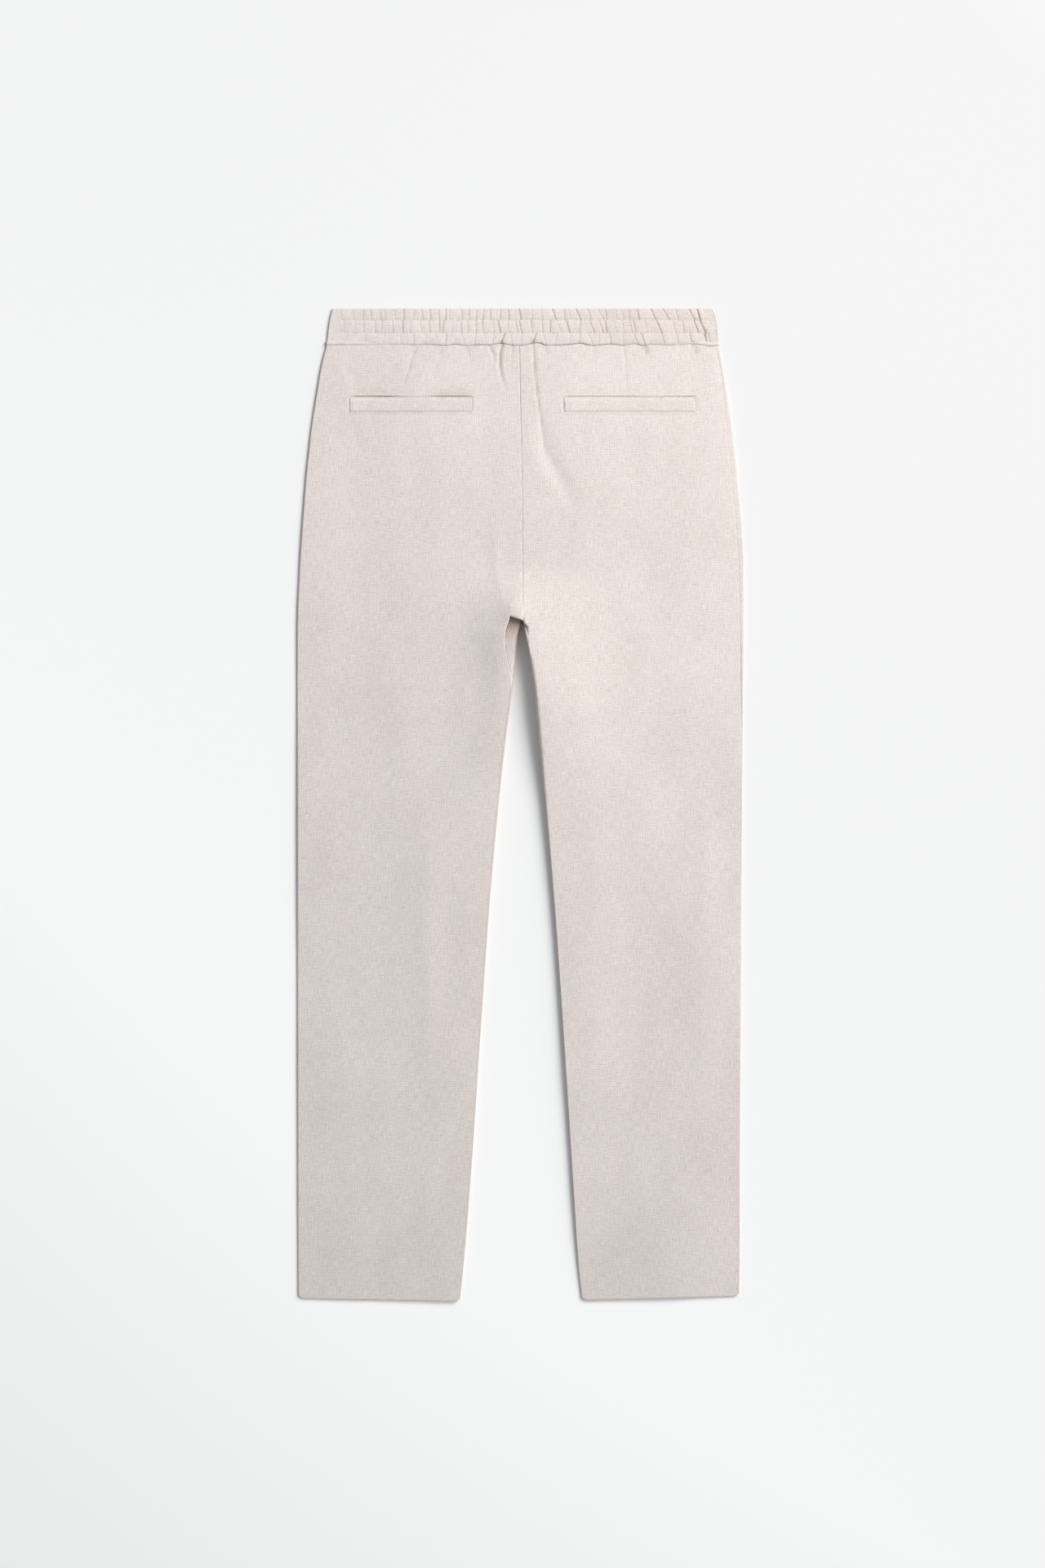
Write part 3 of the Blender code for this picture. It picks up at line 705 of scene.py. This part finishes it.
def front_panel(leg, material):
    """The front of a leg, which comes round the inner edge to the inseam beside the crotch."""
    downs, sinks = panel_rows()
    _, _, width, side_roll, inner_roll = leg_sizes(leg, downs)
    in_leg = smooth(downs, *LEG_STARTS["front"])
    total = width + (pi / 2 - 1) * (side_roll + inner_roll * in_leg)
    side_arc = arc_of(curve(SIDE_SEAM[leg], downs), side_roll)
    inner_arc = arc_of(curve(INSEAM[leg], downs), inner_roll) * in_leg
    tuck_in = TUCK * in_leg
    start, end = -side_arc, total + inner_arc
    near = side_roll * pi / 2 + 3
    far = total - inner_roll * pi / 2 - 3
    arcs = columns([(start - TUCK, 4), (start - 0.8, 4), (start + 1.6, 10), (near, 44),
                    (far, 14), (end - 1.6 * in_leg - 0.2, 4), (end + 0.8 * in_leg, 4),
                    (end + tuck_in + 0.05, 0)])
    down = downs[:, None]
    dips = tuck_dip(arcs - start[:, None]) + tuck_dip(end[:, None] - arcs) * in_leg[:, None]
    centre = seam_dip(np.maximum(total[:, None] - arcs, 0)) * (1 - in_leg[:, None])
    dips = dips + 0.8 * centre
    x, y, z, turn = settle(leg, arcs, downs, sinks, True, dips, in_leg)
    waist = 2.0 * (1 - smooth(down - BAND_HEIGHT, -0.6, 1.7))
    z = z + waist * np.clip(-np.sin(turn), 0, 1) - waist * np.clip(np.sin(turn), 0, 1)
    z = np.where(turn > 0, np.maximum(z, WALL + 0.1), z)
    y = y - waist_wave(x) * (1 - smooth(down, 42, 80))
    places = np.dstack([x, y, z])
    lengths = row_lengths(downs)
    # Painted shadow on the front's strip under the seat's folded edge.
    on_strip = (arcs > total[:, None]) * (turn > 0)
    shade = on_strip * curve(STRIP_SHADE[leg], down)
    if leg == "left":
        # Painted shade on the inner rim, stronger near the crotch.
        by_crotch = 1 + 1.2 * (1 - smooth(down, 345, 410))
        shade = shade + by_crotch * edge_shade(total[:, None] - arcs, inner_roll[:, None]) * in_leg[:, None]
    else:
        # Painted shade on the right leg's side rim, which faces the key light.
        shade = shade + 0.6 * edge_shade(arcs, side_roll[:, None])
    if leg == "right":
        places, shade = places[:, ::-1], shade[:, ::-1]
    piece = lay_cloth("front_" + leg, places, lengths, material, shade)
    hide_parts("front_panel_" + leg)
    return piece


def by_channel(down, gathers):
    """Each channel's number, its creases, and how far down it a place is, from 0 to 1."""
    edges = (0.0,) + STITCH_ROWS + (BAND_HEIGHT,)
    shares = [(down - start) / (end - start) for start, end in zip(edges, edges[1:])]
    return zip(range(3), gathers, shares)


def gather_depth(x, down, gathers):
    """How far the gathers lower the waistband."""
    total = 0.0
    for k, creases, share in by_channel(down, gathers):
        begun, ended = smooth(share, -0.08, 0.06), smooth(share, 0.94, 1.08)
        here = (begun if k > 0 else 1) * (1 - ended if k < 2 else 1)
        depth = 0.0
        for above, below, deep in creases:
            off = np.abs(x - mix(above, below, np.clip(share, -0.1, 1.1))) / GATHER_WIDTH
            depth = depth + min(deep, GATHER_LIMIT) * (np.exp(-off**1.3) - 0.06 * np.exp(-((off - 2.2) ** 2)))
        total = total + here * depth
    return total


def gather_shade(x, down, gathers):
    """Painted shade along the gathers and the rows of stitching."""
    shade = 0.0
    for k, creases, share in by_channel(down, gathers):
        here = (share > 0 if k else share > -1) * (share <= 1)
        for above, below, deep in creases:
            off = x - mix(above, below, np.clip(share, -0.1, 1.1))
            shade = shade + here * deep**1.2 * line(off, 0.55 + 0.12 * deep)
    rows = sum(line(down - row, 0.5) for row in STITCH_ROWS)
    return GATHER_SHADE * shade + 0.1 * rows


def band_swell(down):
    """How far each channel of the waistband swells between its stitching."""
    edges = (-3.0,) + STITCH_ROWS + (BAND_HEIGHT + 2.0,)
    total = 0.0
    for k, swell in enumerate(CHANNEL_SWELL):
        share = np.clip((down - edges[k]) / (edges[k + 1] - edges[k]), 0, 1)
        total = total + swell * (4 * share * (1 - share)) ** 0.7
    return total


def front_gathers():
    """Gathers of the front waistband, much like those of the back."""
    draw = np.random.default_rng(11)
    made = []
    for _ in range(3):
        x, creases = -196.0, []
        while x < 198:
            if abs(abs(x) - SLOT[0]) > 5:
                creases.append((x, x + draw.uniform(-2, 2), draw.uniform(0.4, 1.1)))
            x += draw.uniform(6, 11.5)
        made.append(creases)
    return made


def waistband(name, node, gathers, under, material):
    """Half of the waistband: its outer face, rolled top edge and inner face, over its seam."""
    turns = np.linspace(pi, 0, 5)
    fold_downs = BAND_HEIGHT - BAND_TURNING + BAND_TURNING * np.sin(turns)
    fold_sinks = BAND_TURNING * (1 - np.cos(turns))
    face = np.linspace(BAND_HEIGHT - BAND_TURNING, BAND_NOSE, 44)[1:-1]
    nose_downs = BAND_NOSE - BAND_NOSE * np.sin(turns)
    nose_sinks = BAND_NOSE * (1 - np.cos(turns))
    inside = np.linspace(BAND_NOSE, 34.0, 9)[1:]
    downs = np.concatenate([[BAND_HEIGHT - 2.4], fold_downs, face, nose_downs[::-1], inside])
    sinks = np.concatenate([[2 * BAND_TURNING], fold_sinks, np.zeros(len(face)), nose_sinks[::-1],
                            np.full(len(inside), 2 * BAND_NOSE)])
    count = len(downs)
    left, right = curve(BAND_LEFT, downs)[:, None], curve(BAND_RIGHT, downs)[:, None]
    width = right - left
    spare = (pi / 2 - 1) * BAND_ROLL
    total = width + 2 * spare
    ones = np.ones(count)
    quarter = BAND_ROLL * pi / 2 + 1.0
    arcs = columns([(0 * ones, 8), (quarter * ones, 620 if not under else 300),
                    (total[:, 0] - quarter, 8), (total[:, 0], 0)])
    sign = -1.0 if under else 1.0
    near_left = arcs < total / 2
    inset, high, turn = rolled(sign * np.where(near_left, arcs, total - arcs), BAND_ROLL)
    x = np.where(near_left, left + inset, right - inset)
    down = downs[:, None]
    wave = waist_wave(x) * smooth(down, 27.0, BAND_HEIGHT)
    flat = np.abs(np.sin(turn))
    edge_fade = smooth(inset, BAND_ROLL * 0.6, BAND_ROLL + 14)
    outer = (np.arange(count) > 0)[:, None] * (sinks < 2 * BAND_NOSE - 0.01)[:, None]
    quiet = mix(0.25, 1.0, outer)
    relief = GATHER_SHARE * gather_depth(x, down, gathers) * quiet * edge_fade
    for row in STITCH_ROWS:
        relief = relief + 0.16 * np.exp(-(((down - row) / 0.5) ** 2)) * outer * edge_fade
    swell = (band_swell(down) - 0.4) * edge_fade
    if under:
        z = high + np.maximum(relief, 0) + 0.3 * (0.4 - band_swell(down)).clip(0, 1) * edge_fade
    else:
        crown = (curve(BAND_CROWN, x) - 2 * BAND_ROLL) * smooth(inset, 0, 26)
        z = high + (crown + swell - relief + 0.12 * ripple(x, down, 26, 8) * edge_fade) * flat
        z = z - 0.3 * np.exp(-(((down - BAND_HEIGHT) / 1.4) ** 2)) * edge_fade
    sink = np.minimum(sinks[:, None], mix(2 * BAND_ROLL - WALL - 0.1, 2 * BAND_NOSE, edge_fade))
    x = x + np.where(near_left, 1, -1) * sink * np.cos(turn)
    z = z - sink * np.sin(turn)
    z = np.where(turn > 0, np.maximum(z, WALL + 0.1), z)
    y = TOP - down - wave
    places = np.dstack([x, y, z])
    lengths = np.concatenate([[0], np.cumsum(np.hypot(np.diff(downs), np.diff(sinks)))])
    # Painted shade along the gathers, the stitching and the waistband's top edge.
    shade = gather_shade(x, down, gathers) * outer + 0.3 * line(down, 0.8) * outer
    shade = shade + seam_crease_shade(x, down) * outer * (not under)
    # Painted shade, darker towards the waistband's right end.
    shade = shade + RIGHT_SHADE * smooth(x, 40, 120) * outer * (not under)
    # Painted shade on the waistband's right end, which faces the light.
    shade = shade + edge_shade(total - arcs, BAND_ROLL)
    holes = ()
    if under:
        from_slot = np.abs(np.abs(x) - SLOT[0])
        inside_slot = (from_slot < SLOT[1]) & (np.abs(down - BAND_HEIGHT / 2) < SLOT[2]) & (sink == 0)
        holes = inside_slot[:-1, :-1] & inside_slot[1:, 1:]
        places, lengths, shade, holes = places[::-1], lengths[::-1], shade[::-1], holes[::-1]
    piece = lay_cloth(name, places, lengths, material, shade, holes)
    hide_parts(node)
    return piece


def shell_height(piece):
    """A function that finds the top of a finished piece over any (x, down)."""
    form = bmesh.new()
    form.from_mesh(piece.data)
    tree = BVHTree.FromBMesh(form)
    form.free()

    def height(x, down, from_below=False):
        """z there in millimetres, or None beside the piece."""
        origin = (x * MM, (TOP - down) * MM, -0.05 if from_below else 0.05)
        hit = tree.ray_cast(origin, (0, 0, 1 if from_below else -1))
        return None if hit[0] is None else hit[0].z / MM

    return height


def folded_strip(start, end, count, edge=0.55):
    """Places across a strip with folded edges, and how far each one lies below its flat part."""
    turns = np.linspace(pi * 0.9, 0, 5)
    inward, lower = edge - edge * np.sin(turns), edge * (1 - np.cos(turns))
    way = np.sign(end - start)
    flat = np.linspace(start + way * edge, end - way * edge, count)[1:-1]
    places = np.concatenate([start + way * inward, flat, end - way * inward[::-1]])
    return places, np.concatenate([lower, 0 * flat, lower[::-1]])


def welt(leg, height, material):
    """A pocket's welt: a folded strip of cloth that stands just proud of the seat."""
    left, right, top, bottom = welt_box(leg)
    downs, sinks = folded_strip(bottom, top, 15)
    cols, side_sinks = folded_strip(left, right, 110)
    x, down = np.meshgrid(cols, downs)
    lean = ripple(cols, 0 * cols, 60, 21 if leg == "left" else 22)
    y = TOP - down + 0.25 * lean[None, :] * smooth(-down, -bottom, -top)
    base = np.array([[height(a, b) or 0.0 for a in np.clip(cols, left + 2, right - 2)]
                     for b in (top + 4.0, (top + bottom) / 2, bottom - 3.0)])
    kernel = np.ones(9) / 9
    base = np.array([np.convolve(np.pad(row, 4, mode="edge"), kernel, mode="valid") for row in base])
    share = (down - (top + 4.0)) / (bottom - top - 7.0)
    ground = mix(base[0][None, :], base[2][None, :], np.clip(share, -0.4, 1.4))
    swell = 0.15 * smooth(down, top, top + 3) * (1 - smooth(down, bottom - 4, bottom))
    gape = curve([(left + a, b) for a, b in GAPES[leg]], x)
    sag = 0.25 * gape * np.exp(-((down - top) / 2.5) ** 2)
    z = ground + WALL + 0.2 + swell - sag - np.maximum(sinks[:, None], side_sinks[None, :])
    z = z + 0.1 * ripple(x, y, 22, 31)
    places = np.dstack([x, y, z])
    lengths = np.concatenate([[0], np.cumsum(np.hypot(np.diff(downs), np.diff(sinks)))])
    near_end = 0.3 if leg == "left" else 0.8
    # Painted shade along the welt's edges.
    rim_shade = [near_end * line(x - left, 0.8), line(x - right, 0.8), line(down - top, 0.9),
            line(down - bottom, 0.8)]
    piece = lay_cloth("welt_" + leg, places, lengths, material, 0.3 * sum(rim_shade))
    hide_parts("back_welt_" + leg)
    return piece


def stitch_line(form, start, end, height, thread, long, pitch, below=False):
    """Small raised stitches between two (x, down) places, laid on the cloth there."""
    start, end = np.array(start), np.array(end)
    reach = np.linalg.norm(end - start)
    for at in np.arange(pitch / 2, reach, pitch):
        ends = []
        for place in (at - long / 2, at + long / 2):
            x, down = mix(start, end, np.clip(place / reach, 0, 1))
            z = height(x, down, below)
            if z is not None:
                ends.append(np.array([x, TOP - down, z + STITCH_LIFT]))
        if len(ends) == 2:
            one_stitch(form, *ends, thread)


def one_stitch(form, start, end, thread):
    """A stitch: a short rounded thread between two places."""
    made = bmesh.ops.create_cone(form, cap_ends=True, cap_tris=False, segments=6, radius1=thread * MM,
                                 radius2=thread * MM, depth=np.linalg.norm(end - start) * MM)
    verts = made["verts"]
    along = Vector((end - start).tolist()).normalized()
    turn = along.to_track_quat("Z", "Y").to_matrix().to_4x4()
    middle = Vector(((start + end) / 2 * MM).tolist())
    bmesh.ops.transform(form, matrix=Matrix.Translation(middle) @ turn, verts=verts)


def stitching(material):
    """Rows round the waistband, and the stitching of the pockets and the seat seam."""
    for name, band, below, from_end in (("back", band_back, False, 2.5), ("front", band_front, True, 9)):
        form, height = bmesh.new(), shell_height(band)
        for row in STITCH_ROWS:
            start, end = (curve(BAND_LEFT, row) + from_end, row), (curve(BAND_RIGHT, row) - from_end, row)
            stitch_line(form, start, end, height, *BAND_STITCH, below)
        finish_piece("waistband_stitches_" + name, form, 0, material)
    for leg in LEGS:
        left, right, _, bottom = welt_box(leg)
        form, under_welt = bmesh.new(), bottom + 2.6
        stitch_line(form, (left, under_welt), (right, under_welt), tops[leg], *SEAT_STITCH)
        if leg == "left":
            stitch_line(form, (-2.9, 42.0), (-2.9, 79.0), tops[leg], *SEAT_STITCH)
        finish_piece("seat_stitches_" + leg, form, 0, material)


def node_of(tree, kind, **values):
    """A shader node with its settings and unlinked inputs given by name."""
    node = tree.nodes.new(kind)
    for name, value in values.items():
        if hasattr(node, name):
            setattr(node, name, value)
        else:
            node.inputs[name.replace("_", " ")].default_value = value
    return node


def colour_mix(tree, share, first, second, way="MIX"):
    """Two colours mixed by share, where each is a plain colour or another node's output."""
    node = node_of(tree, "ShaderNodeMix", data_type="RGBA", blend_type=way)
    tree.links.new(share, node.inputs[0])
    for socket, colour in ((node.inputs[6], first), (node.inputs[7], second)):
        if isinstance(colour, tuple):
            socket.default_value = (*colour, 1)
        else:
            tree.links.new(colour, socket)
    return node.outputs[2]


def new_material(name):
    """A material with its node tree and shader."""
    material = bpy.data.materials.new(name)
    material.use_nodes = True
    return material, material.node_tree, material.node_tree.nodes["Principled BSDF"]


def linen(name, light, dark, shade):
    """Plain-woven linen: slubby threads both ways, heathered, with a dry, slightly fuzzy face.

    `shade` is the colour of painted shade, which an attribute of each piece weights, in its creases, seams,
    rims and hollows.
    """
    material, tree, shader = new_material(name)
    link = tree.links.new
    shader.inputs["Roughness"].default_value = 0.92
    shader.inputs["Specular IOR Level"].default_value = 0.25
    shader.inputs["Sheen Weight"].default_value = 0.12
    shader.inputs["Sheen Roughness"].default_value = 0.6
    weave = node_of(tree, "ShaderNodeUVMap", uv_map="weave")

    def pattern(size_across, size_along, detail=3.0, roughness=0.6):
        """Noise of that size in millimetres across the cloth and along it."""
        mapping = node_of(tree, "ShaderNodeMapping")
        mapping.inputs["Scale"].default_value = (1000 / size_across, 1000 / size_along, 1)
        noise = node_of(tree, "ShaderNodeTexNoise", Scale=1.0, Detail=detail, Roughness=roughness)
        link(weave.outputs["UV"], mapping.inputs["Vector"])
        link(mapping.outputs["Vector"], noise.inputs["Vector"])
        return noise.outputs["Fac"]

    def threads(size, across):
        """One set of threads, side by side."""
        wave = node_of(tree, "ShaderNodeTexWave", wave_type="BANDS", wave_profile="SIN",
                       bands_direction="X" if across else "Y", Scale=1000 / size / 20 * pi,
                       Distortion=0.6, Detail=1.0)
        link(weave.outputs["UV"], wave.inputs["Vector"])
        return wave.outputs["Fac"]

    def combined(operation, first, second, factor=None):
        """A sum of plain values or other nodes' outputs."""
        node = node_of(tree, "ShaderNodeMath", operation=operation)
        for k, value in enumerate((first, second, factor)):
            if value is None:
                continue
            if isinstance(value, float):
                node.inputs[k].default_value = value
            else:
                link(value, node.inputs[k])
        return node.outputs[0]

    warp, weft = pattern(1.0, 11.0), pattern(9.0, 1.0)
    heather = pattern(1.5, 1.4, 5.0, 0.75)
    broad = pattern(95.0, 130.0, 2.0)
    cross = combined("MULTIPLY", threads(1.3, True), threads(1.3, False))
    tone = 0.5
    for part, middle, strength in ((warp, 0.5, 0.9), (weft, 0.5, 0.8), (heather, 0.5, 1.35),
                                   (broad, 0.5, 0.35), (cross, 0.25, 0.12)):
        tone = combined("MULTIPLY_ADD", combined("SUBTRACT", part, middle), strength, tone)
    # Painted shade: the cloth's colour is multiplied towards `shade` by the piece's shade attribute.
    painted_shade = node_of(tree, "ShaderNodeAttribute", attribute_name="painted_shade")
    colour = colour_mix(tree, painted_shade.outputs["Fac"], colour_mix(tree, tone, dark, light), shade, "MULTIPLY")
    link(colour, shader.inputs["Base Color"])
    raised = combined("MULTIPLY_ADD", cross, 0.5, combined("ADD", warp, weft))
    bump = node_of(tree, "ShaderNodeBump", Strength=0.35, Distance=0.00022)
    link(raised, bump.inputs["Height"])
    link(bump.outputs["Normal"], shader.inputs["Normal"])
    return material


def thread_material(name, colour):
    """Sewing thread, a little uneven in colour."""
    material, tree, shader = new_material(name)
    shader.inputs["Roughness"].default_value = 0.7
    place = node_of(tree, "ShaderNodeTexCoord")
    noise = node_of(tree, "ShaderNodeTexNoise", Scale=900.0, Detail=2.0)
    tree.links.new(place.outputs["Object"], noise.inputs["Vector"])
    mixed = colour_mix(tree, noise.outputs["Fac"], tuple(c * 0.86 for c in colour), colour)
    tree.links.new(mixed, shader.inputs["Base Color"])
    return material


# Camera, straight above the garment
VIEW_X, VIEW_Y, VIEW_HEIGHT = 2.2, 22.3, 1655.6
LENS, SENSOR = 85.0, 36.0
KEY_PLACE = (1.9, 2.1, 1.6)


def camera():
    """The camera, high above the garment with a long lens and facing straight down."""
    data = bpy.data.cameras.new("camera")
    data.sensor_fit = "VERTICAL"
    data.sensor_height = SENSOR
    data.lens = LENS
    data.clip_start, data.clip_end = 0.1, 30.0
    seat = in_scene("camera", data)
    seat.location = (VIEW_X * MM, VIEW_Y * MM, VIEW_HEIGHT * MM * LENS / SENSOR + 0.008)
    bpy.context.scene.camera = seat


def studio():
    """A pale floor under soft light from the right, a little paler where the key is further away."""
    material, tree, shader = new_material("pale_floor")
    form = bmesh.new()
    bmesh.ops.create_grid(form, x_segments=1, y_segments=1, size=6.0)
    floor = in_scene("floor", mesh_of("floor", form, material))
    floor.location = (0, 0, -0.0002)
    place = node_of(tree, "ShaderNodeTexCoord")
    reach = node_of(tree, "ShaderNodeVectorMath", operation="DISTANCE")
    reach.inputs[1].default_value = (KEY_PLACE[0], KEY_PLACE[1], 0)
    ramp = node_of(tree, "ShaderNodeMapRange")
    ramp.inputs["From Min"].default_value = 1.9
    ramp.inputs["From Max"].default_value = 3.25
    tree.links.new(place.outputs["Object"], reach.inputs[0])
    tree.links.new(reach.outputs["Value"], ramp.inputs["Value"])
    colour = colour_mix(tree, ramp.outputs[0], (0.560, 0.562, 0.565), (0.950, 0.953, 0.957))
    tree.links.new(colour, shader.inputs["Base Color"])
    shader.inputs["Roughness"].default_value = 0.8
    shader.inputs["Specular IOR Level"].default_value = 0.1
    world = bpy.data.worlds.new("studio")
    world.use_nodes = True
    sky = world.node_tree.nodes["Background"].inputs
    sky["Color"].default_value = (0.945, 0.975, 1.0, 1)
    sky["Strength"].default_value = 0.34
    bpy.context.scene.world = world
    sky_light("fill", 55.0, 8.0, 60.0, 1.55, (1.0, 0.99, 0.975))
    softbox("key", KEY_PLACE, 1.5, 112.0, (1.0, 0.99, 0.975))
    bpy.context.scene.view_settings.view_transform = "Standard"
    bpy.context.scene.view_settings.look = "None"


def sky_light(name, from_above, towards_waist, spread, strength, colour):
    """Even light from the right, over a wide part of the sky. Angles are in degrees."""
    data = bpy.data.lights.new(name, "SUN")
    data.angle = radians(spread)
    data.energy = strength
    data.color = colour
    lamp = in_scene(name, data)
    lamp.rotation_euler = (0, radians(from_above), radians(towards_waist))


def softbox(name, place, size, power, colour):
    """A square lamp that faces the middle of the floor."""
    data = bpy.data.lights.new(name, "AREA")
    data.shape = "SQUARE"
    data.size = size
    data.energy = power
    data.color = colour
    lamp = in_scene(name, data)
    lamp.location = place
    lamp.rotation_euler = (Vector((0, 0, 0)) - Vector(place)).to_track_quat("-Z", "Y").to_euler()


# Light and dark threads, and the colour of the painted shade in creases, seams and rims
LINEN = (0.825, 0.755, 0.725), (0.485, 0.432, 0.405), (0.44, 0.36, 0.30)
cloth = linen("linen", *LINEN)
band_cloth = linen("waistband_linen", *LINEN)
thread = thread_material("thread", (0.80, 0.73, 0.69))

camera()
studio()
backs = {leg: back_panel(leg, cloth) for leg in LEGS}
fronts = {leg: front_panel(leg, cloth) for leg in LEGS}
band_back = waistband("waistband_back_cloth", "waistband_back", BACK_GATHERS, False, band_cloth)
band_front = waistband("waistband_front_cloth", "waistband_front", front_gathers(), True, band_cloth)
tops = {leg: shell_height(backs[leg]) for leg in LEGS}
welts = {leg: welt(leg, tops[leg], cloth) for leg in LEGS}
stitching(thread)

for leg in LEGS:
    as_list(backs[leg])
